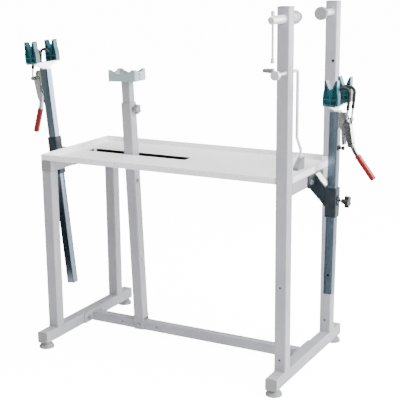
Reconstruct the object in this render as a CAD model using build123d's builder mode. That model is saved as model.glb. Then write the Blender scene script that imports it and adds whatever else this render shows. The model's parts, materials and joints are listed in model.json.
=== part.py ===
from build123d import *
import math
import os

# Workshop service bench in welded square tube: a flat tray between a low left
# frame and a tall right frame, a leaning saddle post in the middle, and one
# height-adjustable arm with V-blocks and a pull-action clamp at each end.
# Millimetres, +Z up, +X along the bench, -Y towards the person using it.
# The origin is on the floor in the middle of the footprint.

# ---- driving dimensions ----
LENGTH = 1164.0         # outer length over the two end frames
DEPTH = 540.0           # outer depth over legs and uprights
FOOT_BAR = 710.0        # length of each foot bar, end caps included
TUBE = 50.0             # frame tube, square
TUBE_WALL = 2.5
TUBE_ROUND = 4.0
FOOT_HEIGHT = 27.0      # floor to the underside of the foot bars
BEAM_TOP = 843.0        # top of the beams that carry the tray
TALL_TOP = 1516.0       # top of the two tall uprights
CAP = 3.0               # flange of a plastic tube cap
TRAY_RIM = 25.0
TRAY_SHEET = 2.0
CENTRE_Y = 20.0         # plane of the post, the stretcher and both arms

OUT_X = LENGTH / 2
IN_X = OUT_X - TUBE
MID_X = OUT_X - TUBE / 2
FRONT_Y = -DEPTH / 2
BACK_Y = DEPTH / 2
BAR_TOP = FOOT_HEIGHT + TUBE
BEAM_LOW = BEAM_TOP - TUBE

SLOT_X0, SLOT_X1 = -515.0, -11.0
SLOT_HALF = 29.0
SLOT_LIP = 10.0

STRETCHER_W = 40.0
STRETCHER_H = 44.0
STRETCHER_Z = 45.0      # centre height

POST_X = -269.0         # post pivot on the stretcher
POST_Z = 45.0
POST_LEAN = 2.2         # degrees, top towards the low frame
POST_TOP = 1030.0       # along the post from the pivot
POST_WALL = 4.0

ARM_TUBE = 38.0
ARM_WALL = 2.5
SLEEVE = 48.0
SLEEVE_GAP = 0.3

ARM_Z = 850.0           # height at which an arm axis is located

SPINDLE_Z = 1471.0
SPINDLE_X = 557.0
ROD_Z = 1272.0
ROD_X = 569.0

os.makedirs("parts", exist_ok=True)


def save(built, label):
    """Label one finished piece and write it as a STEP file."""
    built.part.label = label
    export_step(built.part, f"parts/{label}.step")


def along_y(x, y, z):
    """Plane whose normal is +Y, with local x along +X and local y along -Z."""
    return Plane(origin=(x, y, z), x_dir=(1, 0, 0), z_dir=(0, 1, 0))


def along_x(x, y, z):
    """Plane whose normal is +X, with local x along +Y and local y along +Z."""
    return Plane(origin=(x, y, z), x_dir=(0, 1, 0), z_dir=(1, 0, 0))


def across(base):
    """Plane through the same origin seen from the side: x out, y up the axis."""
    return Plane(origin=base.origin, x_dir=base.x_dir, z_dir=base.x_dir.cross(base.z_dir))


def outward(base, reach, height, side=0.0):
    """Plane whose normal points outward, at a reach and a height on the base axis."""
    spot = base.from_local_coords((reach, side, height))
    return Plane(origin=spot, x_dir=base.y_dir, z_dir=base.x_dir)


def profile(width, height, wall, corner):
    """Draw a rounded hollow tube section into the sketch that is open."""
    RectangleRounded(width, height, corner)
    RectangleRounded(width - 2 * wall, height - 2 * wall, max(corner - wall, 0.8), mode=Mode.SUBTRACT)


# ---- welded frame tubes ----
for side, x in (("left", -MID_X), ("right", MID_X)):
    with BuildPart() as foot_bar:
        with BuildSketch(along_y(x, -FOOT_BAR / 2 + CAP, FOOT_HEIGHT + TUBE / 2)):
            profile(TUBE, TUBE, TUBE_WALL, TUBE_ROUND)
        extrude(amount=FOOT_BAR - 2 * CAP)
        with BuildSketch(Plane.XY.offset(FOOT_HEIGHT)):
            with Locations((x, -324), (x, 324)):
                Circle(5.4)
        extrude(amount=TUBE_WALL + 1, mode=Mode.SUBTRACT)
    save(foot_bar, f"foot_bar_{side}")

for place, y in (("front", FRONT_Y + TUBE / 2), ("rear", BACK_Y - TUBE / 2)):
    with BuildPart() as leg:
        with BuildSketch(Plane.XY.offset(BAR_TOP)):
            with Locations((-MID_X, y)):
                profile(TUBE, TUBE, TUBE_WALL, TUBE_ROUND)
        extrude(amount=BEAM_LOW - BAR_TOP)
    save(leg, f"leg_{place}")

for place, y, holes in (
    ("front", FRONT_Y + TUBE / 2, ((MID_X - 1.5, 125, 4.6), (MID_X - 1.5, 429, 4.6))),
    ("rear", BACK_Y - TUBE / 2, ((MID_X - 1.5, 132, 4.6), (ROD_X, 1272, 6.1))),
):
    with BuildPart() as upright:
        with BuildSketch(Plane.XY.offset(BAR_TOP)):
            with Locations((MID_X, y)):
                profile(TUBE, TUBE, TUBE_WALL, TUBE_ROUND)
        extrude(amount=TALL_TOP - CAP - BAR_TOP)
        for hx, hz, radius in holes:
            with BuildSketch(along_y(hx, y - TUBE / 2 - 1, hz)):
                Circle(radius)
            extrude(amount=TUBE / 2 if place == "front" else TUBE + 2, mode=Mode.SUBTRACT)
        if place == "front":
            with BuildSketch(along_y(SPINDLE_X, y - TUBE / 2 - 1, SPINDLE_Z)):
                Circle(13.0)
            extrude(amount=TUBE + 2, mode=Mode.SUBTRACT)
            with BuildSketch(along_y(ROD_X, y - TUBE / 2 - 1, ROD_Z)):
                Circle(6.1)
            extrude(amount=TUBE + 2, mode=Mode.SUBTRACT)
    save(upright, f"upright_{place}")

with BuildPart() as beam_left:
    with BuildSketch(along_y(-MID_X, FRONT_Y + CAP, BEAM_TOP - TUBE / 2)):
        profile(TUBE, TUBE, TUBE_WALL, TUBE_ROUND)
    extrude(amount=DEPTH - 2 * CAP)
save(beam_left, "beam_left")

with BuildPart() as beam_right:
    with BuildSketch(along_y(MID_X, FRONT_Y + TUBE, BEAM_TOP - TUBE / 2)):
        profile(TUBE, TUBE, TUBE_WALL, TUBE_ROUND)
    extrude(amount=DEPTH - 2 * TUBE)
save(beam_right, "beam_right")

# ---- stretcher bolted between two end plates ----
PLATE = 5.0
PIVOT_HOLES = (-361.0, POST_X, -177.0)
with BuildPart() as stretcher:
    with BuildSketch(along_x(-IN_X + PLATE, CENTRE_Y, STRETCHER_Z)):
        profile(STRETCHER_W, STRETCHER_H, TUBE_WALL, 3.5)
    extrude(amount=2 * (IN_X - PLATE))
    for hx in PIVOT_HOLES:
        with BuildSketch(along_y(hx, CENTRE_Y - 30, STRETCHER_Z)):
            Circle(5.05)
        extrude(amount=60, mode=Mode.SUBTRACT)
save(stretcher, "stretcher")

with BuildPart() as stretcher_plates:
    for x in (-IN_X, IN_X - PLATE):
        with BuildSketch(along_x(x, CENTRE_Y, FOOT_HEIGHT + TUBE / 2)):
            RectangleRounded(170, TUBE, 4)
        extrude(amount=PLATE)
save(stretcher_plates, "stretcher_plates")

with BuildPart() as stretcher_bolts:
    for x, way in ((-IN_X + PLATE, 1), (IN_X - PLATE, -1)):
        for y in (CENTRE_Y - 55, CENTRE_Y + 55):
            with BuildSketch(along_x(x, y, 50.0)):
                Circle(10)
            extrude(amount=1.6 * way)
            with BuildSketch(along_x(x + 1.6 * way, y, 50.0)):
                RegularPolygon(8.5, 6)
            extrude(amount=6.5 * way)
save(stretcher_bolts, "stretcher_bolts")

# ---- plastic caps in the open tube ends ----
with BuildPart() as tube_caps:
    for x in (-MID_X, MID_X):
        for y, way in ((-FOOT_BAR / 2, 1), (FOOT_BAR / 2, -1)):
            with BuildSketch(along_y(x, y, FOOT_HEIGHT + TUBE / 2)):
                RectangleRounded(TUBE, TUBE, TUBE_ROUND)
            extrude(amount=CAP * way)
            with BuildSketch(along_y(x, y, FOOT_HEIGHT + TUBE / 2)):
                RectangleRounded(TUBE - 5.4, TUBE - 5.4, 1.2)
            extrude(amount=12 * way)
    for y, way in ((FRONT_Y, 1), (BACK_Y, -1)):
        with BuildSketch(along_y(-MID_X, y, BEAM_TOP - TUBE / 2)):
            RectangleRounded(TUBE, TUBE, TUBE_ROUND)
        extrude(amount=CAP * way)
        with BuildSketch(along_y(-MID_X, y, BEAM_TOP - TUBE / 2)):
            RectangleRounded(TUBE - 5.4, TUBE - 5.4, 1.2)
        extrude(amount=12 * way)
    with BuildSketch(Plane.XY.offset(TALL_TOP - CAP)):
        with Locations((MID_X, FRONT_Y + TUBE / 2), (MID_X, BACK_Y - TUBE / 2)):
            RectangleRounded(TUBE, TUBE, TUBE_ROUND)
    extrude(amount=CAP)
    with BuildSketch(Plane.XY.offset(TALL_TOP - CAP)):
        with Locations((MID_X, FRONT_Y + TUBE / 2), (MID_X, BACK_Y - TUBE / 2)):
            RectangleRounded(TUBE - 5.4, TUBE - 5.4, 1.2)
    extrude(amount=-10)
save(tube_caps, "tube_caps")

# ---- tray: folded sheet with a rim all round and a lipped slot for the post ----
TRAY_Y0, TRAY_Y1 = FRONT_Y + 1, 254.0
NOTCH = TUBE + 1.0


def tray_outline(inset):
    """Corners of the outline, with square notches round the tall uprights."""
    left, right = -OUT_X + inset, OUT_X - inset
    low, high = TRAY_Y0 + inset, TRAY_Y1 - inset
    step_x = OUT_X - NOTCH - inset
    front_step = FRONT_Y + NOTCH + inset
    back_step = BACK_Y - NOTCH - inset
    return [
        (left, low),
        (step_x, low),
        (step_x, front_step),
        (right, front_step),
        (right, back_step),
        (step_x, back_step),
        (step_x, high),
        (left, high),
    ]


SLOT_MID = (SLOT_X0 + SLOT_X1) / 2
SLOT_LONG = SLOT_X1 - SLOT_X0
with BuildPart() as tray:
    with BuildSketch(Plane.XY.offset(BEAM_TOP)):
        with BuildLine():
            Polyline(*tray_outline(0), close=True)
        make_face()
    extrude(amount=TRAY_RIM)
    with BuildSketch(Plane.XY.offset(BEAM_TOP + TRAY_SHEET)):
        with BuildLine():
            Polyline(*tray_outline(TRAY_SHEET), close=True)
        make_face()
    extrude(amount=TRAY_RIM, mode=Mode.SUBTRACT)
    with BuildSketch(Plane.XY.offset(BEAM_TOP - SLOT_LIP)):
        with Locations((SLOT_MID, CENTRE_Y)):
            RectangleRounded(SLOT_LONG + 4, 2 * SLOT_HALF + 4, 12)
    extrude(amount=SLOT_LIP + 0.5)
    with BuildSketch(Plane.XY.offset(BEAM_TOP - SLOT_LIP - 1)):
        with Locations((SLOT_MID, CENTRE_Y)):
            RectangleRounded(SLOT_LONG, 2 * SLOT_HALF, 10)
    extrude(amount=SLOT_LIP + 5, mode=Mode.SUBTRACT)
save(tray, "tray")

# ---- levelling feet ----
for label, x, y in (
    ("foot_front_left", -MID_X, -324),
    ("foot_front_right", MID_X, -324),
    ("foot_rear_left", -MID_X, 324),
    ("foot_rear_right", MID_X, 324),
):
    with BuildPart() as level_foot:
        with BuildSketch(Plane(origin=(x, y, 0), x_dir=(1, 0, 0), z_dir=(0, -1, 0))):
            with BuildLine():
                Polyline(
                    (0, 0), (33, 0), (34, 1.5), (34, 8), (27, 18), (24, 21), (12, 26.7),
                    (5.35, 26.7), (5.35, 62), (4.4, 63), (0, 63), close=True,
                )
            make_face()
        revolve(axis=Axis((x, y, 0), (0, 0, 1)))
    save(level_foot, label)

# ---- saddle post, leaning in the slot ----
lean = math.radians(POST_LEAN)
POST = Plane(
    origin=(POST_X, CENTRE_Y, POST_Z),
    x_dir=(math.cos(lean), 0, math.sin(lean)),
    z_dir=(-math.sin(lean), 0, math.cos(lean)),
)
with BuildPart() as post_tube:
    with BuildSketch(POST.offset(32)):
        profile(TUBE, TUBE, POST_WALL, 5)
    extrude(amount=POST_TOP - 32)
    for way in (-1, 1):
        with BuildSketch(across(POST).offset(-way * 25)):
            with Locations((0, 14)):
                RectangleRounded(TUBE, 72, 5)
        extrude(amount=way * 4.7)
    with BuildSketch(across(POST)):
        Circle(5.05)
    extrude(amount=40, both=True, mode=Mode.SUBTRACT)
    with BuildSketch(outward(POST, -30, 678)):
        Circle(5.05)
    extrude(amount=60, mode=Mode.SUBTRACT)
    with BuildSketch(outward(POST, 0, 1000)):
        Circle(5.05)
    extrude(amount=30, mode=Mode.SUBTRACT)
save(post_tube, "post_tube")

with BuildPart() as post_pivot:
    with BuildSketch(across(POST)):
        Circle(5.0)
    extrude(amount=31, both=True)
    for way in (-1, 1):
        with BuildSketch(across(POST).offset(way * 25.3)):
            Circle(11)
        extrude(amount=way * 1.6)
        with BuildSketch(across(POST).offset(way * 26.9)):
            RegularPolygon(9, 6)
        extrude(amount=way * 6.5)
save(post_pivot, "post_pivot")

with BuildPart() as post_bolts:
    with BuildSketch(outward(POST, -34, 678)):
        Circle(5.0)
    extrude(amount=68)
    for way in (-1, 1):
        with BuildSketch(outward(POST, way * 25, 678)):
            Circle(11)
        extrude(amount=way * 2)
        with BuildSketch(outward(POST, way * 27, 678)):
            RegularPolygon(9, 6)
        extrude(amount=way * 7)
    with BuildSketch(outward(POST, 25, 312)):
        Circle(7)
    extrude(amount=4)
save(post_bolts, "post_bolts")

INNER_LOW, INNER_TOP = 790.0, 1125.0
with BuildPart() as inner_tube:
    with BuildSketch(POST.offset(INNER_LOW)):
        profile(TUBE - 2 * POST_WALL - 0.6, TUBE - 2 * POST_WALL - 0.6, 2.5, 4)
    extrude(amount=INNER_TOP - INNER_LOW)
save(inner_tube, "inner_tube")

SADDLE_X, SADDLE_Y, SADDLE_H = 138.0, 91.0, 51.0
with BuildPart() as saddle:
    with BuildSketch(POST.offset(INNER_TOP)):
        RectangleRounded(SADDLE_X, SADDLE_Y, 3)
    extrude(amount=SADDLE_H)
    with BuildSketch(POST.offset(INNER_TOP + 5)):
        RectangleRounded(SADDLE_X - 10, SADDLE_Y - 10, 1)
    extrude(amount=SADDLE_H, mode=Mode.SUBTRACT)
    with BuildSketch(across(POST)):
        with BuildLine():
            ThreePointArc((-61, INNER_TOP + 60), (0, INNER_TOP + 32), (61, INNER_TOP + 60))
            Line((61, INNER_TOP + 60), (-61, INNER_TOP + 60))
        make_face()
    extrude(amount=60, both=True, mode=Mode.SUBTRACT)
    with BuildSketch(outward(POST, -90, INNER_TOP)):
        with BuildLine():
            ThreePointArc((-42, 58), (0, 39), (42, 58))
            Line((42, 58), (-42, 58))
        make_face()
    extrude(amount=180, mode=Mode.SUBTRACT)
    with BuildSketch(outward(POST, 40, INNER_TOP)):
        with Locations((-8, 28), (-8, 14)):
            Circle(4)
    extrude(amount=40, mode=Mode.SUBTRACT)
save(saddle, "saddle")


def star(radius, lobes, hollow):
    """Draw a lobed knob outline into the sketch that is open."""
    Circle(radius)
    with PolarLocations(radius * 1.06, lobes):
        Circle(hollow, mode=Mode.SUBTRACT)


with BuildPart() as post_knob:
    with BuildSketch(outward(POST, 21.3, 1000)):
        Circle(4.95)
    extrude(amount=26)
    with BuildSketch(outward(POST, 30, 1000)):
        Circle(11)
    extrude(amount=8)
    with BuildSketch(outward(POST, 37, 1000)):
        star(22, 5, 7)
    extrude(amount=14)
    chamfer(post_knob.faces().sort_by(Axis.X)[-1].edges(), 1.5)
save(post_knob, "post_knob")

# ---- clamping spindle on the front upright, fixed stub on the rear one ----
with BuildPart() as spindle_bush:
    with BuildSketch(along_y(SPINDLE_X, FRONT_Y - 58, SPINDLE_Z)):
        Circle(16)
    extrude(amount=58)
    with BuildSketch(along_y(SPINDLE_X, FRONT_Y - 58, SPINDLE_Z)):
        Circle(12.8)
    extrude(amount=58 + TUBE)
    with BuildSketch(along_y(SPINDLE_X, FRONT_Y - 60, SPINDLE_Z)):
        Circle(10.05)
    extrude(amount=60 + TUBE + 5, mode=Mode.SUBTRACT)
    chamfer(spindle_bush.faces().sort_by(Axis.Y)[0].outer_wire().edges(), 1.5)
save(spindle_bush, "spindle_bush")

HUB_Y = FRONT_Y - 106
BAR_Y = FRONT_Y - 91
with BuildPart() as spindle:
    with BuildSketch(along_y(SPINDLE_X, HUB_Y, SPINDLE_Z)):
        Circle(15)
    extrude(amount=46)
    with BuildSketch(along_y(SPINDLE_X, HUB_Y + 46, SPINDLE_Z)):
        Circle(10)
    extrude(amount=162)
    with BuildSketch(Plane.XY.offset(SPINDLE_Z - 20)):
        with Locations((SPINDLE_X, BAR_Y)):
            Circle(4.6)
    extrude(amount=40, mode=Mode.SUBTRACT)
    chamfer(spindle.faces().sort_by(Axis.Y)[0].edges(), 4)
save(spindle, "spindle")

BAR_LOW, BAR_HIGH = 1316.0, 1505.0
BAR_KNOB = 18.7

with BuildPart() as tommy_bar:
    with BuildSketch(Plane.XY.offset(BAR_LOW)):
        with Locations((SPINDLE_X, BAR_Y)):
            Circle(4.4)
    extrude(amount=BAR_HIGH - BAR_LOW)
    for z in (BAR_LOW, BAR_HIGH - BAR_KNOB):
        with BuildSketch(Plane.XY.offset(z)):
            with Locations((SPINDLE_X, BAR_Y)):
                Circle(7)
        extrude(amount=BAR_KNOB)
    fillet(tommy_bar.edges().group_by(Axis.Z)[0] + tommy_bar.edges().group_by(Axis.Z)[-1], 2)
save(tommy_bar, "tommy_bar")

PAD_Y = -170.0
with BuildPart() as pressure_plate:
    with BuildSketch(along_y(SPINDLE_X, PAD_Y, SPINDLE_Z)):
        Circle(24)
    extrude(amount=6)
    with BuildSketch(along_y(SPINDLE_X, PAD_Y - 18, SPINDLE_Z)):
        Circle(15)
    extrude(amount=18)
    with BuildSketch(along_y(SPINDLE_X, PAD_Y - 19, SPINDLE_Z)):
        Circle(10.2)
    extrude(amount=21.4, mode=Mode.SUBTRACT)
save(pressure_plate, "pressure_plate")

with BuildPart() as pressure_rubber:
    with BuildSketch(along_y(SPINDLE_X, PAD_Y + 6, SPINDLE_Z)):
        Circle(26)
    extrude(amount=8)
    with BuildSketch(along_y(SPINDLE_X, PAD_Y + 14, SPINDLE_Z)):
        Circle(20)
    extrude(amount=32, taper=4)
    fillet(pressure_rubber.faces().sort_by(Axis.Y)[-1].edges(), 2)
save(pressure_rubber, "pressure_rubber")

REAR_FACE = BACK_Y - TUBE
with BuildPart() as rear_stub:
    with BuildSketch(along_y(SPINDLE_X, 118, SPINDLE_Z)):
        Circle(14)
    extrude(amount=REAR_FACE - 118)
    with BuildSketch(along_y(SPINDLE_X, 108, SPINDLE_Z)):
        Circle(8)
    extrude(amount=10)
save(rear_stub, "rear_stub")

with BuildPart() as rear_pad:
    with BuildSketch(along_y(SPINDLE_X, 100, SPINDLE_Z)):
        Circle(27)
    extrude(amount=17.7)
    with BuildSketch(along_y(SPINDLE_X, 107.7, SPINDLE_Z)):
        Circle(8.1)
    extrude(amount=12, mode=Mode.SUBTRACT)
    fillet(rear_pad.faces().sort_by(Axis.Y)[0].edges(), 2)
save(rear_pad, "rear_pad")

# ---- cranked stop rod through the front upright ----
LIMB_Y, SHOE_Y = -152.0, -112.0
with BuildPart() as stop_rod:
    with BuildLine() as path:
        FilletPolyline(
            (ROD_X, FRONT_Y - 96, ROD_Z),
            (ROD_X, LIMB_Y, ROD_Z),
            (ROD_X, LIMB_Y, 1010),
            (ROD_X, SHOE_Y, 955),
            (ROD_X, SHOE_Y, 912),
            radius=14,
        )
    with BuildSketch(along_y(ROD_X, FRONT_Y - 96, ROD_Z)):
        Circle(6)
    sweep()
save(stop_rod, "stop_rod")

HANDLE_Z = ROD_Z + 17
with BuildPart() as rod_hub:
    with BuildSketch(along_y(ROD_X, FRONT_Y - 100, ROD_Z)):
        Circle(17)
    extrude(amount=20)
    with BuildSketch(along_x(ROD_X - 34, FRONT_Y - 90, HANDLE_Z)):
        Circle(4)
    extrude(amount=30)
    with BuildSketch(along_y(ROD_X, FRONT_Y - 96, ROD_Z)):
        Circle(6.02)
    extrude(amount=20, mode=Mode.SUBTRACT)
save(rod_hub, "rod_hub")

with BuildPart() as rod_grip:
    with BuildSketch(along_x(ROD_X - 9, FRONT_Y - 90, HANDLE_Z)):
        Circle(10)
    extrude(amount=-42, taper=4)
    fillet(rod_grip.faces().sort_by(Axis.X)[0].edges(), 3)
    with BuildSketch(along_y(ROD_X, FRONT_Y - 105, ROD_Z)):
        Circle(17.04)
    extrude(amount=30, mode=Mode.SUBTRACT)
    with BuildSketch(along_x(ROD_X - 34.1, FRONT_Y - 90, HANDLE_Z)):
        Circle(4.03)
    extrude(amount=30, mode=Mode.SUBTRACT)
save(rod_grip, "rod_grip")

with BuildPart() as rod_shoe:
    with BuildSketch(along_x(ROD_X - 11, SHOE_Y, 0)):
        with BuildLine():
            Polyline((-50, 880), (12, 880), (14, 884), (14, 925), (-2, 925), (-50, 892), close=True)
        make_face()
    extrude(amount=22)
    with BuildSketch(Plane.XY.offset(912)):
        with Locations((ROD_X, SHOE_Y)):
            Circle(6.02)
    extrude(amount=20, mode=Mode.SUBTRACT)
save(rod_shoe, "rod_shoe")

# ---- arm brackets bolted to the outside of the beams ----
BASE_Y0, BASE_Y1 = -70.0, 90.0
GUSSET = 5.0
with BuildPart() as bracket_right:
    with BuildSketch(along_x(OUT_X, (BASE_Y0 + BASE_Y1) / 2, BEAM_TOP - TUBE / 2 - 3)):
        RectangleRounded(BASE_Y1 - BASE_Y0, 50, 2)
    extrude(amount=GUSSET)
    for y in (CENTRE_Y - 21, CENTRE_Y + 21 - GUSSET):
        with BuildSketch(along_y(0, y, 0)):
            with BuildLine():
                Polyline(
                    (OUT_X + 1, -834), (OUT_X + 6, -834), (631.9, -785), (630.7, -707),
                    (OUT_X - 19, -776), (OUT_X - 19, -789), (OUT_X + 1, -789), close=True,
                )
            make_face()
        extrude(amount=GUSSET)
save(bracket_right, "bracket_right")

with BuildPart() as bracket_left:
    with BuildSketch(along_x(-OUT_X, (BASE_Y0 + BASE_Y1) / 2, BEAM_TOP - TUBE / 2 - 3)):
        RectangleRounded(BASE_Y1 - BASE_Y0, 50, 2)
    extrude(amount=-GUSSET)
    with BuildSketch(along_x(-IN_X, (BASE_Y0 + BASE_Y1) / 2 - 15, BEAM_TOP - TUBE / 2 - 1)):
        RectangleRounded(BASE_Y1 - BASE_Y0 + 30, 46, 2)
    extrude(amount=GUSSET)
    for y in (CENTRE_Y - 21, CENTRE_Y + 21 - GUSSET):
        with BuildSketch(along_y(0, y, 0)):
            with BuildLine():
                Polyline(
                    (-OUT_X - 1, -838), (-692.4, -838), (-687.9, -794), (-OUT_X - 1, -794), close=True,
                )
            make_face()
        extrude(amount=GUSSET)
save(bracket_left, "bracket_left")

with BuildPart() as bracket_tongues:
    with BuildSketch(along_y(0, CENTRE_Y - 21, 0)):
        with BuildLine():
            Polyline(
                (OUT_X + 5.1, -834.2), (OUT_X + 5.1, -839.5), (OUT_X + 8.6, -839.5),
                (633.8, -790.4), (633.8, -785.9), (631.2, -785.9), (OUT_X + 6.1, -834.1), close=True,
            )
        make_face()
    extrude(amount=42)
    with BuildSketch(along_y(0, CENTRE_Y - 21, 0)):
        with BuildLine():
            Polyline((-OUT_X - 5.1, -838.1), (-OUT_X - 5.1, -842.1), (-692.7, -842.1), (-692.4, -838.1), close=True)
        make_face()
    extrude(amount=42)
save(bracket_tongues, "bracket_tongues")

with BuildPart() as bracket_bolts:
    for x, way in ((OUT_X + GUSSET, 1), (-OUT_X - GUSSET, -1), (-IN_X + GUSSET, 1)):
        for y in (-42, 74):
            with BuildSketch(along_x(x, y, 812)):
                Circle(11.5)
            extrude(amount=2 * way)
            with BuildSketch(along_x(x + 2 * way, y, 812)):
                RegularPolygon(8.5, 6)
            extrude(amount=6.5 * way)
save(bracket_bolts, "bracket_bolts")


# ---- arms: sliding tube, head with two V-blocks, pull-action clamp ----
def arm_plane(side, x, lean_deg):
    """Arm axis plane: normal up the tube, local x away from the bench."""
    way = 1 if side == "right" else -1
    tip = math.radians(lean_deg)
    return Plane(
        origin=(x, CENTRE_Y, ARM_Z),
        x_dir=(way * math.cos(tip), 0, -math.sin(tip)),
        z_dir=(way * math.sin(tip), 0, math.cos(tip)),
    )


HEAD_OUT = 9.0          # head sits this far outside the tube axis
HEAD_LIFT = 34.0        # tube top to the seat of the V-blocks
BLOCK_W, BLOCK_T, BLOCK_H = 63.0, 28.0, 98.0
BLOCK_Y = 75.0          # plane of each block from the arm axis
PIVOT_OUT, PIVOT_DOWN = 42.0, 34.0
PIN_OUT = 16.0          # clamp lever pivot to the hook pin
FLARE = 28.5            # degrees between the lever channel and its grip
GRIP_LONG = 116.0
HOOK_HALF = 29.0        # half the distance between the two hook legs


def build_arm(side, base, top, low, sleeve_low, sleeve_top, knob_plane, lever_tilt, hook_tilt, buffer_out):
    """Build every piece of one arm on its axis plane."""
    flat = across(base)
    with BuildPart() as sleeve:
        with BuildSketch(base.offset(sleeve_low)):
            bore = ARM_TUBE + 2 * SLEEVE_GAP
            RectangleRounded(SLEEVE, SLEEVE, 5)
            RectangleRounded(bore, bore, 3.5, mode=Mode.SUBTRACT)
        extrude(amount=sleeve_top - sleeve_low)
        with BuildSketch(knob_plane.offset(SLEEVE / 2 - 0.5)):
            with Locations(Rotation(0, 0, 45)):
                RectangleRounded(32, 32, 2)
        extrude(amount=4.5)
        with BuildSketch(knob_plane.offset(SLEEVE / 2 - 10)):
            Circle(4.05)
        extrude(amount=20, mode=Mode.SUBTRACT)
    save(sleeve, f"sleeve_{side}")

    with BuildPart() as star_knob:
        with BuildSketch(knob_plane.offset(SLEEVE / 2 - 4.2)):
            Circle(4.0)
        extrude(amount=26)
        with BuildSketch(knob_plane.offset(SLEEVE / 2 + 17)):
            Circle(10)
        extrude(amount=17)
        with BuildSketch(knob_plane.offset(SLEEVE / 2 + 32)):
            star(25, 5, 10)
        extrude(amount=17)
    save(star_knob, f"star_knob_{side}")

    with BuildPart() as arm_tube:
        with BuildSketch(base.offset(low)):
            profile(ARM_TUBE, ARM_TUBE, ARM_WALL, 3.5)
        extrude(amount=top - low)
        with BuildSketch(flat):
            with Locations((0, top - 677)):
                Circle(4.5)
        extrude(amount=30, both=True, mode=Mode.SUBTRACT)
    save(arm_tube, f"arm_tube_{side}")

    seat = top + HEAD_LIFT
    with BuildPart() as yoke:
        with BuildSketch(base.offset(top)):
            with Locations((0, 0)):
                RectangleRounded(ARM_TUBE + 4, ARM_TUBE + 4, 3)
        extrude(amount=4)
        with BuildSketch(outward(base, -4, top + 2)):
            with BuildLine():
                Polyline(
                    (-26, 0), (26, 0), (26, 4), (BLOCK_Y + 16, HEAD_LIFT - 5),
                    (BLOCK_Y + 16, HEAD_LIFT - 3), (-BLOCK_Y - 16, HEAD_LIFT - 3),
                    (-BLOCK_Y - 16, HEAD_LIFT - 5), (-26, 4), close=True,
                )
            make_face()
        extrude(amount=8)
        with BuildSketch(base.offset(seat - 5)):
            with Locations((HEAD_OUT - 2, 0)):
                RectangleRounded(56, 2 * BLOCK_Y + 34, 6)
        extrude(amount=5)
    save(yoke, f"yoke_{side}")

    rest = Plane(
        origin=flat.from_local_coords((HEAD_OUT, seat, 0)),
        x_dir=flat.x_dir,
        z_dir=flat.z_dir,
    )
    half, waist = BLOCK_W / 2, BLOCK_W / 2 - 4.5
    with BuildPart() as v_blocks:
        for y in (-BLOCK_Y, BLOCK_Y):
            with BuildSketch(rest.offset(y - BLOCK_T / 2)):
                with BuildLine():
                    Polyline(
                        (-half, 0), (half, 0), (half, 40), (waist, 62), (waist, BLOCK_H - 4),
                        (waist - 2, BLOCK_H), (waist - 7, BLOCK_H), (6, BLOCK_H - 34), (3, BLOCK_H - 37),
                        (-3, BLOCK_H - 37), (-6, BLOCK_H - 34), (7 - waist, BLOCK_H),
                        (2 - waist, BLOCK_H), (-waist, BLOCK_H - 4), (-waist, 62), (-half, 40), close=True,
                    )
                make_face()
            extrude(amount=BLOCK_T)
            for way in (-1, 1):
                with BuildSketch(rest.offset(y + way * BLOCK_T / 2)):
                    with BuildLine():
                        Polyline(
                            (-26, 27), (26, 27), (26, 40), (22, 60), (22, 78), (20, 78),
                            (8, 56), (-8, 56), (-20, 78), (-22, 78), (-22, 60), (-26, 40), close=True,
                        )
                    make_face()
                    with BuildLine():
                        Polyline((-12, 64), (12, 64), (2.5, 25), (-2.5, 25), close=True)
                    make_face(mode=Mode.SUBTRACT)
                    with Locations((-13.5, 14), (13.5, 14)):
                        RectangleRounded(22, 15, 1.5)
                extrude(amount=-9 * way, mode=Mode.SUBTRACT)
    save(v_blocks, f"v_blocks_{side}")

    # clamp carrier: a back plate with two cheeks that hold the lever pin
    pivot = (PIVOT_OUT, top - PIVOT_DOWN)
    face = ARM_TUBE / 2
    with BuildPart() as clamp_base:
        with BuildSketch(flat):
            with Locations((face + 1.5, top - 31)):
                Rectangle(3, 58)
        extrude(amount=17, both=True)
        for way in (-1, 1):
            with BuildSketch(flat.offset(way * 9)):
                with BuildLine():
                    Polyline(
                        (face + 1, top - 2), (face + 26, top - 2), (face + 34, top - 14),
                        (face + 34, top - 46), (face + 29, top - 66), (face + 27, top - 130),
                        (face + 17, top - 130), (face + 11, top - 70), (face + 1, top - 58), close=True,
                    )
                make_face()
            extrude(amount=way * 3)
        with BuildSketch(flat):
            with Locations(pivot):
                Circle(4.0)
        extrude(amount=16.5, both=True)
        for way in (-1, 1):
            with BuildSketch(flat.offset(way * 16.3)):
                with Locations(pivot):
                    Circle(6.0)
            extrude(amount=way * 1.6)
            with BuildSketch(flat.offset(way * 11)):
                with Locations((face + 21, top - 108), (face + 9, top - 44), (face + 9, top - 14)):
                    Circle(3.0)
            extrude(amount=way * 1.3)
    save(clamp_base, f"clamp_base_{side}")

    with BuildPart() as bumper:
        with BuildSketch(outward(base, face, top - 145)):
            RectangleRounded(32, 18, 4)
        extrude(amount=4)
        with BuildSketch(outward(base, face + 4, top - 145)):
            Circle(4.5)
        extrude(amount=buffer_out)
        with BuildSketch(outward(base, face + 3.5 + buffer_out, top - 145)):
            Circle(9)
        extrude(amount=8)
        fillet(bumper.faces().group_by(Axis(base.origin, base.x_dir))[-1].edges(), 2)
    save(bumper, f"bumper_{side}")

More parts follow.
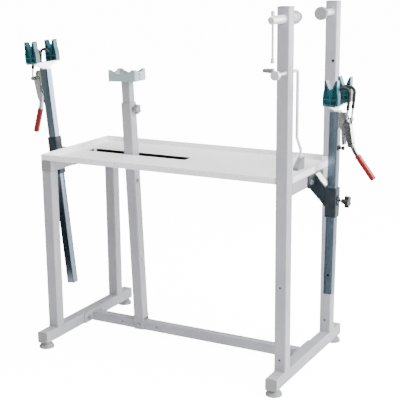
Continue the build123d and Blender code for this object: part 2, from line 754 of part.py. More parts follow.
    # lever: a channel straddling the cheeks, then a flat shank flared away from the tube
    swing = Plane(
        origin=flat.from_local_coords((pivot[0], pivot[1], 0)),
        x_dir=flat.x_dir.rotate(Axis((0, 0, 0), tuple(flat.z_dir)), lever_tilt),
        z_dir=flat.z_dir,
    )
    bend = math.radians(FLARE)
    knee = (10.0, -102.0)
    run = Vector(math.sin(bend), -math.cos(bend))
    wide = Vector(math.cos(bend), math.sin(bend)) * 7
    corner = Vector(*knee)
    with BuildPart() as clamp_lever:
        for way in (-1, 1):
            with BuildSketch(swing.offset(way * 12.6)):
                with BuildLine():
                    Polyline(
                        (-8, 9), (9, 10), (PIN_OUT + 8, 8), (24, -10),
                        (24, -90), (knee[0] + 8, knee[1] - 6), (knee[0] - 8, knee[1] - 2),
                        (-1, -60), (-9, -8), close=True,
                    )
                make_face()
                Circle(4.08, mode=Mode.SUBTRACT)
            extrude(amount=way * 3)
        with BuildSketch(swing):
            with BuildLine():
                Polyline((20, -16), (24, -16), (24, -90), (18, -108), (15.5, -107), (20.5, -90), close=True)
            make_face()
        extrude(amount=13, both=True)
        with BuildSketch(swing):
            with BuildLine():
                Polyline(
                    (knee[0] - 7, knee[1] + 16), (knee[0] + 11, knee[1] + 12),
                    tuple(corner + run * 30 + wide)[:2], tuple(corner + run * 72 + wide)[:2],
                    tuple(corner + run * 72 - wide)[:2], tuple(corner + run * 30 - wide)[:2], close=True,
                )
            make_face()
        extrude(amount=8, both=True)
        for way in (-1, 1):
            with BuildSketch(swing.offset(way * 15)):
                with Locations((PIN_OUT, 0)):
                    Circle(5.0)
            extrude(amount=way * (HOOK_HALF + 9 - 15))
    save(clamp_lever, f"clamp_lever_{side}")

    grip_start = corner + run * 46
    grip_spot = swing.from_local_coords((grip_start.X, grip_start.Y, 0))
    grip_plane = Plane(
        origin=grip_spot,
        x_dir=swing.z_dir,
        z_dir=swing.from_local_coords((grip_start.X + run.X, grip_start.Y + run.Y, 0)) - grip_spot,
    )
    with BuildPart() as clamp_grip:
        with BuildSketch(grip_plane):
            RectangleRounded(25, 23, 9)
        extrude(amount=GRIP_LONG)
        fillet(clamp_grip.faces().sort_by(Axis.Z)[0].edges(), 6)
        with BuildSketch(grip_plane.offset(-1)):
            Rectangle(16.06, 14.06)
        extrude(amount=27.1, mode=Mode.SUBTRACT)
    save(clamp_grip, f"clamp_grip_{side}")

    # hook: two legs from the lever pins, bent over towards the V-blocks
    pin_spot = swing.from_local_coords((PIN_OUT, 0, 0))
    hang = Plane(
        origin=pin_spot,
        x_dir=flat.x_dir.rotate(Axis((0, 0, 0), tuple(flat.z_dir)), hook_tilt),
        z_dir=flat.z_dir,
    )
    crown = seat + 41 - flat.to_local_coords(pin_spot).Y
    with BuildPart() as clamp_hook:
        for way in (-1, 1):
            with BuildSketch(hang.offset(way * (HOOK_HALF - 4.4))):
                Circle(9)
                Circle(5.08, mode=Mode.SUBTRACT)
            extrude(amount=way * 8.8)
            leg_root = hang.from_local_coords((0, 7, way * HOOK_HALF))
            with BuildSketch(Plane(origin=leg_root, x_dir=hang.x_dir, z_dir=hang.y_dir)):
                Circle(4)
            extrude(amount=crown - 7)
    save(clamp_hook, f"clamp_hook_{side}")

    with BuildPart() as hook_rubber:
        for way in (-1, 1):
            lane = hang.offset(way * HOOK_HALF)
            foot = lane.from_local_coords((0, 44, 0))
            bend_start = lane.from_local_coords((0, crown, 0))
            with BuildLine() as hook_path:
                Line(foot, bend_start)
                ThreePointArc(
                    bend_start,
                    lane.from_local_coords((-21, crown + 21, 0)),
                    lane.from_local_coords((-40.5, crown + 8, 0)),
                )
            with BuildSketch(Plane(origin=foot, x_dir=hang.x_dir, z_dir=hang.y_dir)):
                Circle(6.5)
            sweep(path=hook_path.wires()[0])
        for way in (-1, 1):
            below = hang.from_local_coords((0, 43, way * HOOK_HALF))
            with BuildSketch(Plane(origin=below, x_dir=hang.x_dir, z_dir=hang.y_dir)):
                Circle(4.03)
            extrude(amount=crown - 43 + 0.1, mode=Mode.SUBTRACT)
    save(hook_rubber, f"hook_rubber_{side}")


RIGHT = arm_plane("right", 657.0, 0.85)
LEFT = arm_plane("left", -718.0, 5.84)
build_arm("right", RIGHT, 245.0, -515.0, -185.0, -65.0, outward(RIGHT, 0, -117), 10.0, -4.5, 12.0)
rear_side = Plane(origin=LEFT.from_local_coords((0, 0, -88)), x_dir=LEFT.x_dir, z_dir=(0, 1, 0))
build_arm("left", LEFT, 352.0, -663.0, -133.0, 40.0, rear_side, -6.5, 10.0, 0.5)
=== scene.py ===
"""Workshop clamping stand: a square-tube bench with a slotted tray, a leaning saddle post,
two facing screw pads and two sliding V-block arms with hook clamps."""

import json
import logging
import math
from dataclasses import dataclass, field
from enum import Enum
from typing import Iterable, Sequence

import bmesh
import bpy
from mathutils import Matrix, Vector

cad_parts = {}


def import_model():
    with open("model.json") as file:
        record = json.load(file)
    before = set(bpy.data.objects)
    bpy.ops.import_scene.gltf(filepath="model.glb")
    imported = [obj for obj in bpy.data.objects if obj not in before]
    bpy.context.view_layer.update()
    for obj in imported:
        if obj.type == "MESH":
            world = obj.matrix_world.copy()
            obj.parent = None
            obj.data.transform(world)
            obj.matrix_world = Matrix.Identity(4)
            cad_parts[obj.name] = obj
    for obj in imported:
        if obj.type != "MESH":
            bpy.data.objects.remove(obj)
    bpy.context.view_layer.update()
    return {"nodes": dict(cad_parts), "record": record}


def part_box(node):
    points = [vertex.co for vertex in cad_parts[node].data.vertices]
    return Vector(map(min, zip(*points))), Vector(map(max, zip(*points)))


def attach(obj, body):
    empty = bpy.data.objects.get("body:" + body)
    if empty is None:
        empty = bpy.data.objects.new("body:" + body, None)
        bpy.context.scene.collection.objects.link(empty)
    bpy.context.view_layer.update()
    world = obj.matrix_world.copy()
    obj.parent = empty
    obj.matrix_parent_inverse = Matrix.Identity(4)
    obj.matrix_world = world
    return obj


LOG = logging.getLogger("stand")
MM = 0.001


# ---------------------------------------------------------------- finishes
class Pattern(Enum):
    """How a surface was made, which decides its texture."""

    POWDER_COAT = "powder coat"
    SPECKLED_ENAMEL = "speckled enamel"
    DRAWN_ZINC = "drawn zinc"
    MOULDED = "moulded"
    RUBBER = "rubber"
    CAST_PAINT = "cast paint"


@dataclass(frozen=True)
class Finish:
    """One real material and how its surface was made.

    Args:
        name: plain name of the material.
        colour: sRGB hex of the clean surface.
        second: sRGB hex of the variation in it.
        pattern: how the surface was made.
        metallic: 1 for bare metal, 0 for paint, plastic and rubber, and between for a dull plating.
        roughness: typical roughness of the material.
        ior: index of refraction, left at the default for metals.
        grain_mm: real size of the pattern's grain.
        relief: strength of the bump.
        coat: weight of a clear gloss layer.
    """

    name: str
    colour: str
    second: str
    pattern: Pattern
    metallic: float = 0.0
    roughness: float = 0.5
    ior: float = 1.5
    grain_mm: float = 1.0
    relief: float = 0.1
    coat: float = 0.0

    def build(self) -> bpy.types.Material:
        """Make the node material for this finish.

        Returns:
            The new material.
        """
        material = bpy.data.materials.new(self.name)
        material.use_nodes = True
        tree = material.node_tree
        tree.nodes.clear()
        out = add_node(tree, "ShaderNodeOutputMaterial")
        shader = add_node(tree, "ShaderNodeBsdfPrincipled")
        shader.inputs["Metallic"].default_value = self.metallic
        if self.metallic < 0.5:
            shader.inputs["IOR"].default_value = self.ior
        shader.inputs["Coat Weight"].default_value = self.coat
        shader.inputs["Coat Roughness"].default_value = 0.18
        tree.links.new(shader.outputs["BSDF"], out.inputs["Surface"])
        where = add_node(tree, "ShaderNodeTexCoord")
        stretch = (1.0, 1.0, 0.03) if self.pattern is Pattern.DRAWN_ZINC else (1.0, 1.0, 1.0)
        mapping = add_node(tree, "ShaderNodeMapping", {"Scale": stretch}, {"Vector": (where, "Object")})
        per_metre = 1.0 / (self.grain_mm * MM)
        fine = add_node(
            tree,
            "ShaderNodeTexNoise",
            {"Scale": per_metre, "Detail": 4.0, "Roughness": 0.6},
            {"Vector": (mapping, "Vector")},
        )
        broad = add_node(
            tree,
            "ShaderNodeTexNoise",
            {"Scale": 9.0, "Detail": 3.0, "Roughness": 0.55},
            {"Vector": (mapping, "Vector")},
        )
        low, high = self.window()
        chooser = fine if self.pattern in (Pattern.SPECKLED_ENAMEL, Pattern.RUBBER) else broad
        spread = add_node(
            tree,
            "ShaderNodeMapRange",
            {"From Min": low, "From Max": high},
            {"Value": (chooser, "Fac")},
        )
        blend = add_node(
            tree,
            "ShaderNodeMix",
            {"A": (*linear(self.colour), 1.0), "B": (*linear(self.second), 1.0)},
            {"Factor": (spread, "Result")},
            {"data_type": "RGBA"},
        )
        tree.links.new(blend.outputs["Result"], shader.inputs["Base Color"])
        gloss = add_node(
            tree,
            "ShaderNodeMapRange",
            {
                "From Min": 0.3,
                "From Max": 0.7,
                "To Min": self.roughness * 0.82,
                "To Max": self.roughness * 1.18,
            },
            {"Value": (broad, "Fac")},
        )
        tree.links.new(gloss.outputs["Result"], shader.inputs["Roughness"])
        bump = add_node(
            tree,
            "ShaderNodeBump",
            {"Strength": self.relief, "Distance": self.grain_mm * MM * 0.25},
            {"Height": (fine, "Fac")},
        )
        tree.links.new(bump.outputs["Normal"], shader.inputs["Normal"])
        return material

    def window(self) -> tuple[float, float]:
        """Give the noise levels between which the second colour comes in."""
        windows = {
            Pattern.SPECKLED_ENAMEL: (0.52, 0.62),
            Pattern.RUBBER: (0.50, 0.72),
            Pattern.DRAWN_ZINC: (0.35, 0.65),
            Pattern.CAST_PAINT: (0.40, 0.70),
        }
        return windows.get(self.pattern, (0.35, 0.75))


def linear(code: str) -> tuple[float, float, float]:
    """Turn an sRGB hex colour into linear values.

    Args:
        code: hex colour such as "#A0B0C0".

    Returns:
        Red, green and blue in linear light.
    """
    digits = code.lstrip("#")
    parts = [int(digits[i : i + 2], 16) / 255.0 for i in (0, 2, 4)]
    made = [p / 12.92 if p <= 0.04045 else ((p + 0.055) / 1.055) ** 2.4 for p in parts]
    return made[0], made[1], made[2]


def add_node(
    tree: bpy.types.NodeTree,
    kind: str,
    settings: dict[str, object] | None = None,
    links: dict[str, tuple[bpy.types.Node, str]] | None = None,
    properties: dict[str, object] | None = None,
) -> bpy.types.Node:
    """Add a node with its settings and links.

    Args:
        tree: the material's node tree.
        kind: the node's type name.
        settings: input values by socket name.
        links: source node and output name by input socket name.
        properties: the node's own options.

    Returns:
        The new node.
    """
    node = tree.nodes.new(kind)
    for name, value in (properties or {}).items():
        setattr(node, name, value)
    for name, value in (settings or {}).items():
        sockets = [s for s in node.inputs if s.name == name and s.enabled]
        sockets[0].default_value = value
    for name, (source, output) in (links or {}).items():
        sockets = [s for s in node.inputs if s.name == name and s.enabled]
        tree.links.new(source.outputs[output], sockets[0])
    return node


# Powder-coated steel: a fine orange peel and a soft, even sheen.
PALE_COAT = Finish("pale_powder_coat", "#A9A9B0", "#A0A0A8", Pattern.POWDER_COAT, 0.0, 0.42, 1.5, 1.6, 0.10)
# White stove enamel with a light grey fleck.
FLECKED_ENAMEL = Finish(
    "flecked_enamel", "#FCFCFC", "#E4E4E6", Pattern.SPECKLED_ENAMEL, 0.0, 0.38, 1.5, 9.0, 0.04
)
# Thin light paint over cast steel.
SADDLE_COAT = Finish("saddle_coat", "#A9B9BB", "#96A6A9", Pattern.CAST_PAINT, 0.0, 0.45, 1.5, 2.0, 0.15)
# Dark blue-grey paint on pressed steel.
SLATE_COAT = Finish("slate_coat", "#1B242A", "#232E36", Pattern.POWDER_COAT, 0.0, 0.42, 1.5, 1.6, 0.12)
# Dark teal enamel on castings, a little glossy.
TEAL_COAT = Finish("teal_coat", "#034A54", "#075E69", Pattern.CAST_PAINT, 0.0, 0.36, 1.5, 2.4, 0.22, 0.25)
# Zinc-plated drawn tube: long draw lines, cool and darker than fresh plating.
ZINC_TUBE = Finish("zinc_plated_tube", "#8C9CA7", "#4E5D68", Pattern.DRAWN_ZINC, 1.0, 0.17, 1.5, 2.0, 0.05)
# Zinc-plated pressings with a slight yellow-green passivation.
ZINC_PRESSING = Finish("zinc_pressing", "#D8DDD9", "#B2B8AA", Pattern.CAST_PAINT, 1.0, 0.24, 1.5, 3.0, 0.06)
# Bright plated fasteners.
FASTENER = Finish("fastener_steel", "#B9BCBE", "#9DA1A4", Pattern.CAST_PAINT, 1.0, 0.32, 1.5, 1.5, 0.06)
# Bright drawn bar with a soft pale sheen.
PALE_STEEL = Finish("pale_bright_steel", "#F0F0F3", "#DFE0E4", Pattern.CAST_PAINT, 0.35, 0.34, 1.5, 2.0, 0.04)
# Black nitrile rubber, matt with a fine bloom.
BLACK_RUBBER = Finish("black_rubber", "#0D0E0F", "#1A1C1E", Pattern.RUBBER, 0.0, 0.55, 1.52, 1.2, 0.20)
# Mid-grey grip rubber.
GRIP_RUBBER = Finish("grip_rubber", "#7C7F84", "#64676B", Pattern.RUBBER, 0.0, 0.6, 1.52, 1.2, 0.2)
# Crumb rubber pad with grey flecks.
CRUMB_RUBBER = Finish("crumb_rubber", "#8A8D91", "#B6B8BB", Pattern.RUBBER, 0.0, 0.7, 1.52, 2.2, 0.35)
# Dipped red vinyl, glossy over a soft skin.
RED_VINYL = Finish("dipped_red_vinyl", "#8E0710", "#74060D", Pattern.MOULDED, 0.0, 0.33, 1.53, 2.2, 0.12, 0.3)
# Moulded glass-filled nylon knobs.
BLACK_NYLON = Finish("black_nylon", "#15181A", "#212527", Pattern.MOULDED, 0.0, 0.45, 1.53, 1.2, 0.15)
# Moulded grey polyethylene caps and feet; on the slot strip the same grey is painted shade.
GREY_POLYMER = Finish("grey_polymer", "#8E8F93", "#828388", Pattern.MOULDED, 0.0, 0.5, 1.51, 1.4, 0.1)


@dataclass
class Wardrobe:
    """Builds each finish once and puts it on pieces."""

    made: dict[str, bpy.types.Material] = field(default_factory=dict)

    def material(self, finish: Finish) -> bpy.types.Material:
        """Give the material of a finish, made on first use."""
        if finish.name not in self.made:
            self.made[finish.name] = finish.build()
        return self.made[finish.name]

    def dress(self, piece: bpy.types.Object, finish: Finish) -> None:
        """Put a finish on every face of a piece.

        Args:
            piece: the mesh object.
            finish: what it is made of.
        """
        piece.data.materials.clear()
        piece.data.materials.append(self.material(finish))
        LOG.info("%s in %s", piece.name, finish.name)


# ---------------------------------------------------------------- mesh helpers
def finish_piece(
    bm: bmesh.types.BMesh, name: str, body: str, smooth_deg: float = 35.0
) -> bpy.types.Object:
    """Turn a bmesh into a finished piece that rides on a body.

    Args:
        bm: the mesh being built, freed here.
        name: the piece's name.
        body: the CAD body it moves with.
        smooth_deg: edges flatter than this are shaded smooth.

    Returns:
        The new object.
    """
    bmesh.ops.recalc_face_normals(bm, faces=bm.faces[:])
    mesh = bpy.data.meshes.new(name)
    bm.to_mesh(mesh)
    bm.free()
    for polygon in mesh.polygons:
        polygon.use_smooth = True
    mesh.set_sharp_from_angle(angle=math.radians(smooth_deg))
    piece = bpy.data.objects.new(name, mesh)
    bpy.context.scene.collection.objects.link(piece)
    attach(piece, body)
    LOG.info("built %s, %d faces", name, len(mesh.polygons))
    return piece


def turn(
    bm: bmesh.types.BMesh,
    outline: Sequence[tuple[float, float]],
    centre: Vector,
    axis: Vector,
    steps: int,
) -> None:
    """Spin a profile of (radius, height) points in millimetres about an axis.

    Args:
        bm: the mesh being built.
        outline: radius and height pairs from one end to the other.
        centre: point on the axis, in metres.
        axis: unit direction of the heights.
        steps: number of segments round.
    """
    side = axis.orthogonal().normalized()
    points = [bm.verts.new(centre + side * r * MM + axis * h * MM) for r, h in outline]
    edges = [bm.edges.new(pair) for pair in zip(points, points[1:])]
    bmesh.ops.spin(
        bm, geom=points + edges, cent=centre, axis=axis, angle=math.tau, steps=steps, use_merge=True
    )
    bmesh.ops.remove_doubles(bm, verts=bm.verts[:], dist=1e-6)


def helix(
    bm: bmesh.types.BMesh, radius: float, depth: float, lead: float, turns: float, start: Vector, axis: Vector
) -> None:
    """Wind one closed ridge of a screw thread, all lengths in millimetres.

    Args:
        bm: the mesh being built.
        radius: radius of the core it sits on.
        depth: height of the ridge above the core.
        lead: advance in one turn.
        turns: number of turns.
        start: where the axis begins, in metres.
        axis: unit direction of the advance.
    """
    side = axis.orthogonal().normalized()
    outline = ((radius - 0.3, 0.0), (radius + depth, 0.30), (radius + depth, 0.50), (radius - 0.3, 0.80))
    points = [bm.verts.new(start + side * r * MM + axis * h * lead * 0.5 * MM) for r, h in outline]
    face = bm.faces.new(points)
    steps = int(24 * turns)
    bmesh.ops.spin(
        bm,
        geom=[face],
        cent=start,
        axis=axis,
        dvec=axis * (lead * turns / steps) * MM,
        angle=math.tau * turns,
        steps=steps,
    )
    bmesh.ops.holes_fill(bm, edges=[e for e in bm.edges if e.is_boundary])


def weld_bead(bm: bmesh.types.BMesh, corners: Sequence[Vector], width: float) -> None:
    """Lay a rippled bead of weld along a closed run of corners.

    Args:
        bm: the mesh being built.
        corners: the corners in metres, in order round the joint.
        width: mean radius of the bead in millimetres.
    """
    rings: list[list[bmesh.types.BMEdge]] = []
    for one, two in zip(corners, [*corners[1:], corners[0]]):
        run = two - one
        count = max(4, round(run.length / (3.0 * MM)))
        for step in range(count):
            ripple = 1.0 + 0.22 * math.cos(math.pi * step)
            turned = run.to_track_quat("Z", "Y").to_matrix().to_4x4()
            place = Matrix.Translation(one + run * (step + 0.5) / count) @ turned
            made = bmesh.ops.create_circle(bm, segments=8, radius=width * ripple * MM, matrix=place)
            rings.append(list({e for v in made["verts"] for e in v.link_edges}))
    for near, far in zip(rings, [*rings[1:], rings[0]]):
        bmesh.ops.bridge_loops(bm, edges=near + far)


# ---------------------------------------------------------------- sub-assemblies
@dataclass
class WeldedFrame:
    """The four-legged square-tube frame, its caps, stretcher and feet."""

    wardrobe: Wardrobe
    bead_mm: float = 2.1
    bead_lift_mm: float = 0.6
    bead_inset: float = 0.985
    painted: tuple[str, ...] = (
        "foot_bar_left", "foot_bar_right", "leg_front", "leg_rear", "upright_front", "upright_rear",
        "beam_left", "beam_right", "stretcher", "stretcher_plates",
    )
    feet: tuple[str, ...] = ("foot_front_left", "foot_front_right", "foot_rear_left", "foot_rear_right")

    def build(self, nodes: dict[str, bpy.types.Object]) -> None:
        """Dress the frame and add its weld beads."""
        for name in self.painted:
            self.wardrobe.dress(nodes[name], PALE_COAT)
        for name in self.feet:
            self.wardrobe.dress(nodes[name], GREY_POLYMER)
        self.wardrobe.dress(nodes["tube_caps"], GREY_POLYMER)
        self.wardrobe.dress(nodes["stretcher_bolts"], FASTENER)
        self.welds()

    def welds(self) -> None:
        """Run a bead round each tube where it stands on a foot bar or meets a beam."""
        bm = bmesh.new()
        for standing in ("leg_front", "leg_rear", "upright_front", "upright_rear"):
            low, high = (Vector(p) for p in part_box(standing))
            levels = [low.z + self.bead_lift_mm * MM]
            if standing.startswith("leg"):
                levels.append(high.z - self.bead_lift_mm * MM)
            for level in levels:
                plan = ((low.x, low.y), (high.x, low.y), (high.x, high.y), (low.x, high.y))
                corners = [Vector((x, y, level)) for x, y in plan]
                centre = (corners[0] + corners[2]) / 2
                weld_bead(bm, [centre + (c - centre) * self.bead_inset for c in corners], self.bead_mm)
        piece = finish_piece(bm, "frame_welds", "frame", 60.0)
        self.wardrobe.dress(piece, PALE_COAT)


@dataclass
class TrayTop:
    """The folded sheet tray and a grey strip in its long slot, whose grey is painted shade."""

    wardrobe: Wardrobe
    slot_middle: tuple[float, float] = (-0.263, 0.020)
    slot_half: tuple[float, float] = (0.25195, 0.02895)
    corner_mm: float = 9.0
    strip_mm: float = 1.2
    depth_mm: float = 20.0
    top_m: float = 0.8451

    def build(self, nodes: dict[str, bpy.types.Object]) -> None:
        """Dress the tray and line its slot with a grey strip of painted shade."""
        self.wardrobe.dress(nodes["tray"], FLECKED_ENAMEL)
        # The grey strip in the slot is painted shade.
        self.painted_shade_strip()

    def painted_shade_strip(self) -> None:
        """Line the slot with a grey strip that hangs 10 mm below its folded lip; its grey is painted shade
        for the shade inside the slot.
        """
        low = Vector(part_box("tray")[0])
        radius = self.corner_mm * MM
        outline: list[Vector] = []
        for quarter, (across, along) in enumerate(((1, 1), (-1, 1), (-1, -1), (1, -1))):
            hub_x = self.slot_middle[0] + across * (self.slot_half[0] - radius)
            hub_y = self.slot_middle[1] + along * (self.slot_half[1] - radius)
            for step in range(7):
                turned = math.pi / 2 * (quarter + step / 6)
                round_x = hub_x + radius * math.cos(turned)
                round_y = hub_y + radius * math.sin(turned)
                outline.append(Vector((round_x, round_y, low.z)))
        bm = bmesh.new()
        sheet = bm.faces.new([bm.verts.new(p) for p in outline])
        bmesh.ops.inset_region(
            bm, faces=[sheet], thickness=self.strip_mm * MM, use_boundary=True, use_even_offset=True
        )
        bmesh.ops.delete(bm, geom=[max(bm.faces, key=lambda f: f.calc_area())], context="FACES_ONLY")
        grown = bmesh.ops.extrude_face_region(bm, geom=bm.faces[:])
        risen = [v for v in grown["geom"] if isinstance(v, bmesh.types.BMVert)]
        bmesh.ops.translate(bm, vec=(0.0, 0.0, self.depth_mm * MM), verts=risen)
        bmesh.ops.translate(bm, vec=(0.0, 0.0, self.top_m - self.depth_mm * MM - low.z), verts=bm.verts)
        piece = finish_piece(bm, "slot_painted_shade_strip", "frame", 40.0)
        # The strip's grey stands in for the shade inside the slot: painted shade.
        self.wardrobe.dress(piece, GREY_POLYMER)


@dataclass
class SaddlePost:
    """The leaning post with its sliding inner tube and saddle."""

    wardrobe: Wardrobe

    def build(self, nodes: dict[str, bpy.types.Object]) -> None:
        """Dress the post."""
        for name in ("post_tube", "inner_tube"):
            self.wardrobe.dress(nodes[name], PALE_COAT)
        self.wardrobe.dress(nodes["saddle"], SADDLE_COAT)
        self.wardrobe.dress(nodes["post_knob"], GREY_POLYMER)
        for name in ("post_bolts", "post_pivot"):
            self.wardrobe.dress(nodes[name], FASTENER)


@dataclass
class TopClamp:
    """The screw-driven pad, its tommy bar, and the fixed pad that faces it."""

    wardrobe: Wardrobe
    core_mm: float = 10.0
    ridge_mm: float = 0.9
    lead_mm: float = 10.0
    thread_turns: float = 2.5
    thread_back_m: float = 0.0305

    def build(self, nodes: dict[str, bpy.types.Object]) -> None:
        """Dress the clamp."""
        for name in ("spindle_bush", "spindle", "tommy_bar", "pressure_plate", "rear_stub"):
            self.wardrobe.dress(nodes[name], PALE_STEEL)
        for name in ("pressure_rubber", "rear_pad"):
            self.wardrobe.dress(nodes[name], CRUMB_RUBBER)
        self.thread()

    def thread(self) -> None:
        """Wind the screw thread on the bare part of the spindle behind the pad."""
        low, high = (Vector(p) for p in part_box("spindle"))
        plate_low = Vector(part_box("pressure_plate")[0])
        centre = Vector(((low.x + high.x) / 2, plate_low.y - self.thread_back_m, (low.z + high.z) / 2))
        bm = bmesh.new()
        for half in (0.0, 0.5):
            start = centre + Vector((0.0, half * self.lead_mm * MM, 0.0))
            helix(
                bm,
                self.core_mm,
                self.ridge_mm,
                self.lead_mm,
                self.thread_turns,
                start,
                Vector((0.0, 1.0, 0.0)),
            )
        piece = finish_piece(bm, "spindle_thread", "spindle", 30.0)
        self.wardrobe.dress(piece, PALE_STEEL)


@dataclass
class StopRod:
    """The cranked rod that hangs through the front upright."""

    wardrobe: Wardrobe

    def build(self, nodes: dict[str, bpy.types.Object]) -> None:
        """Dress the rod."""
        for name in ("stop_rod", "rod_hub"):
            self.wardrobe.dress(nodes[name], PALE_STEEL)
        for name in ("rod_grip", "rod_shoe"):
            self.wardrobe.dress(nodes[name], GRIP_RUBBER)


class Side(Enum):
    """Which end of the bench an arm is on."""

    LEFT = "left"
    RIGHT = "right"


@dataclass
class ClampArm:
    """One sliding arm with its sleeve, V-blocks and hook clamp."""

    wardrobe: Wardrobe
    side: Side
    pivots: dict[str, Vector]
    rivet_mm: float = 4.6
    dome_mm: float = 3.0
    rivet_sink_m: float = 0.0012

    def build(self, nodes: dict[str, bpy.types.Object]) -> None:
        """Dress the arm."""
        end = self.side.value
        finishes = {
            f"sleeve_{end}": SLATE_COAT, f"bracket_{end}": SLATE_COAT, f"star_knob_{end}": BLACK_NYLON,
            f"arm_tube_{end}": ZINC_TUBE, f"yoke_{end}": ZINC_PRESSING, f"v_blocks_{end}": TEAL_COAT,
            f"clamp_base_{end}": ZINC_PRESSING, f"clamp_lever_{end}": ZINC_PRESSING,
            f"clamp_hook_{end}": ZINC_PRESSING, f"clamp_grip_{end}": RED_VINYL,
            f"hook_rubber_{end}": BLACK_RUBBER, f"bumper_{end}": BLACK_RUBBER,
        }
        for name, finish in finishes.items():
            self.wardrobe.dress(nodes[name], finish)
        self.rivets()

    def rivets(self) -> None:
        """Close the clamp's main pivot with a domed head on each cheek."""
        end = self.side.value
        low, high = (Vector(p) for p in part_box(f"clamp_base_{end}"))
        middle = self.pivots[f"lever_{end}_swing"]
        angles = [math.pi * k / 16 for k in range(9)]
        dome = [(self.rivet_mm * math.cos(a), self.dome_mm * math.sin(a)) for a in angles]
        dome[-1] = (0.0, self.dome_mm)
        bm = bmesh.new()
        for way, face in ((-1.0, low.y), (1.0, high.y)):
            seat = Vector((middle.x, face - way * self.rivet_sink_m, middle.z))
            turn(bm, [(0.0, -0.5), (self.rivet_mm, -0.5), *dome], seat, Vector((0.0, way, 0.0)), 24)
        piece = finish_piece(bm, f"clamp_rivets_{end}", f"arm_{end}", 40.0)
        self.wardrobe.dress(piece, FASTENER)


@dataclass
class ArmFixings:
    """Tongues and bolts that hold both arm brackets."""

    wardrobe: Wardrobe

    def build(self, nodes: dict[str, bpy.types.Object]) -> None:
        """Dress the fixings."""
        self.wardrobe.dress(nodes["bracket_tongues"], ZINC_PRESSING)
        self.wardrobe.dress(nodes["bracket_bolts"], FASTENER)


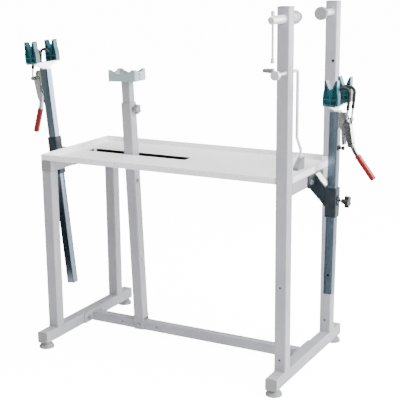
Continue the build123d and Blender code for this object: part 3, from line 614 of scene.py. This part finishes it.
# ---------------------------------------------------------------- studio
@dataclass
class Studio:
    """Pale floor, soft lights and the camera."""

    camera_at: tuple[float, float, float] = (2.0577, -3.6985, 1.6983)
    yaw: float = 0.4960
    pitch: float = 0.2392
    roll: float = -0.0098
    lens_mm: float = 90.01

    def camera(self) -> None:
        """Place the camera that frames the stand."""
        data = bpy.data.cameras.new("camera")
        data.lens = self.lens_mm
        data.sensor_width = 36.0
        eye = bpy.data.objects.new("camera", data)
        turned = (
            Matrix.Rotation(self.yaw, 4, "Z")
            @ Matrix.Rotation(math.pi / 2 - self.pitch, 4, "X")
            @ Matrix.Rotation(self.roll, 4, "Z")
        )
        eye.matrix_world = Matrix.Translation(self.camera_at) @ turned
        bpy.context.scene.collection.objects.link(eye)
        bpy.context.scene.camera = eye

    def floor(self) -> None:
        """Lay a plain pale floor that also glows where the camera sees it, and lights nothing."""
        bm = bmesh.new()
        bmesh.ops.create_grid(bm, x_segments=1, y_segments=1, size=40.0)
        mesh = bpy.data.meshes.new("floor")
        bm.to_mesh(mesh)
        bm.free()
        floor = bpy.data.objects.new("floor", mesh)
        bpy.context.scene.collection.objects.link(floor)
        material = bpy.data.materials.new("studio_floor")
        material.use_nodes = True
        shader = material.node_tree.nodes["Principled BSDF"]
        shader.inputs["Base Color"].default_value = (*linear("#FAFAFA"), 1.0)
        shader.inputs["Roughness"].default_value = 0.9
        shader.inputs["Emission Color"].default_value = (1.0, 1.0, 1.0, 1.0)
        ray = add_node(material.node_tree, "ShaderNodeLightPath")
        glow = add_node(
            material.node_tree,
            "ShaderNodeMapRange",
            {"To Min": 0.0, "To Max": 14.0},
            {"Value": (ray, "Is Camera Ray")},
        )
        material.node_tree.links.new(glow.outputs["Result"], shader.inputs["Emission Strength"])
        mesh.materials.append(material)

    def lamp(self, name: str, at: Sequence[float], aim: Sequence[float], size: float, watts: float) -> None:
        """Hang one soft area light.

        Args:
            name: the light's name.
            at: its position in metres.
            aim: the point it faces.
            size: its edge length in metres.
            watts: its power.
        """
        data = bpy.data.lights.new(name, "AREA")
        data.size = size
        data.energy = watts
        lamp = bpy.data.objects.new(name, data)
        lamp.location = at
        lamp.rotation_euler = (Vector(aim) - Vector(at)).to_track_quat("-Z", "Y").to_euler()
        bpy.context.scene.collection.objects.link(lamp)

    def light(self) -> None:
        """Set a surround that is white to the camera and dim as a light, and the soft lights."""
        world = bpy.data.worlds.new("studio")
        world.use_nodes = True
        bpy.context.scene.world = world
        surround = world.node_tree.nodes["Background"]
        surround.inputs["Color"].default_value = (1.0, 1.0, 1.0, 1.0)
        ray = add_node(world.node_tree, "ShaderNodeLightPath")
        level = add_node(
            world.node_tree,
            "ShaderNodeMapRange",
            {"To Min": 0.5, "To Max": 16.0},
            {"Value": (ray, "Is Camera Ray")},
        )
        world.node_tree.links.new(level.outputs["Result"], surround.inputs["Strength"])
        self.lamp("key", (4.2, -1.0, 3.0), (0.0, 0.0, 0.8), 2.6, 420.0)
        self.lamp("top", (0.4, 0.2, 4.6), (0.0, 0.0, 0.0), 4.0, 260.0)
        self.lamp("rim", (3.4, 6.5, 1.6), (0.3, 0.0, 0.8), 4.0, 420.0)

    def card(self, name: str, size: tuple[float, float], place: Matrix, tone: str) -> None:
        """Set out a dark card that shows only in glossy reflections.

        Args:
            name: the card's name.
            size: half its width and half its height in metres.
            place: where it goes and how it is turned.
            tone: sRGB hex of its cloth.
        """
        bm = bmesh.new()
        bmesh.ops.create_grid(bm, x_segments=1, y_segments=1, size=1.0)
        bmesh.ops.scale(bm, vec=(*size, 1.0), verts=bm.verts)
        bmesh.ops.transform(bm, matrix=place, verts=bm.verts)
        mesh = bpy.data.meshes.new(name)
        bm.to_mesh(mesh)
        bm.free()
        card = bpy.data.objects.new(name, mesh)
        bpy.context.scene.collection.objects.link(card)
        material = bpy.data.materials.new(name + "_velvet")
        material.use_nodes = True
        shader = material.node_tree.nodes["Principled BSDF"]
        shader.inputs["Base Color"].default_value = (*linear(tone), 1.0)
        shader.inputs["Roughness"].default_value = 1.0
        shader.inputs["Specular IOR Level"].default_value = 0.0
        mesh.materials.append(material)
        card.visible_camera = False
        card.visible_shadow = False
        card.visible_diffuse = False

    def build(self) -> None:
        """Set up camera, floor, card and lights."""
        self.camera()
        self.floor()
        upright = Matrix.Rotation(math.radians(90), 4, "X")
        self.card("front_card", (2.3, 1.3), Matrix.Translation((-0.4, -5.5, 1.25)) @ upright, "#0B1014")
        self.card("low_card", (1.9, 2.4), Matrix.Translation((-0.7, -2.95, 0.004)), "#2A3238")
        self.light()


def assemblies(wardrobe: Wardrobe, pivots: dict[str, Vector]) -> Iterable[object]:
    """List the sub-assemblies in the order they are put together.

    Args:
        wardrobe: the shared finishes.
        pivots: where each hinge sits, by joint name.

    Returns:
        The sub-assemblies.
    """
    return (
        WeldedFrame(wardrobe),
        TrayTop(wardrobe),
        SaddlePost(wardrobe),
        TopClamp(wardrobe),
        StopRod(wardrobe),
        ClampArm(wardrobe, Side.LEFT, pivots),
        ClampArm(wardrobe, Side.RIGHT, pivots),
        ArmFixings(wardrobe),
    )


def main() -> None:
    """Build, dress and light the whole stand."""
    logging.basicConfig(level=logging.INFO, format="%(message)s")
    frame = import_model()
    wardrobe = Wardrobe()
    Studio().build()
    joints = frame["record"]["behaviour"]["joints"]
    pivots = {j["name"]: Vector(j["pos_m"]) for j in joints if "pos_m" in j}
    for part in assemblies(wardrobe, pivots):
        part.build(frame["nodes"])


if __name__ == "__main__":
    main()
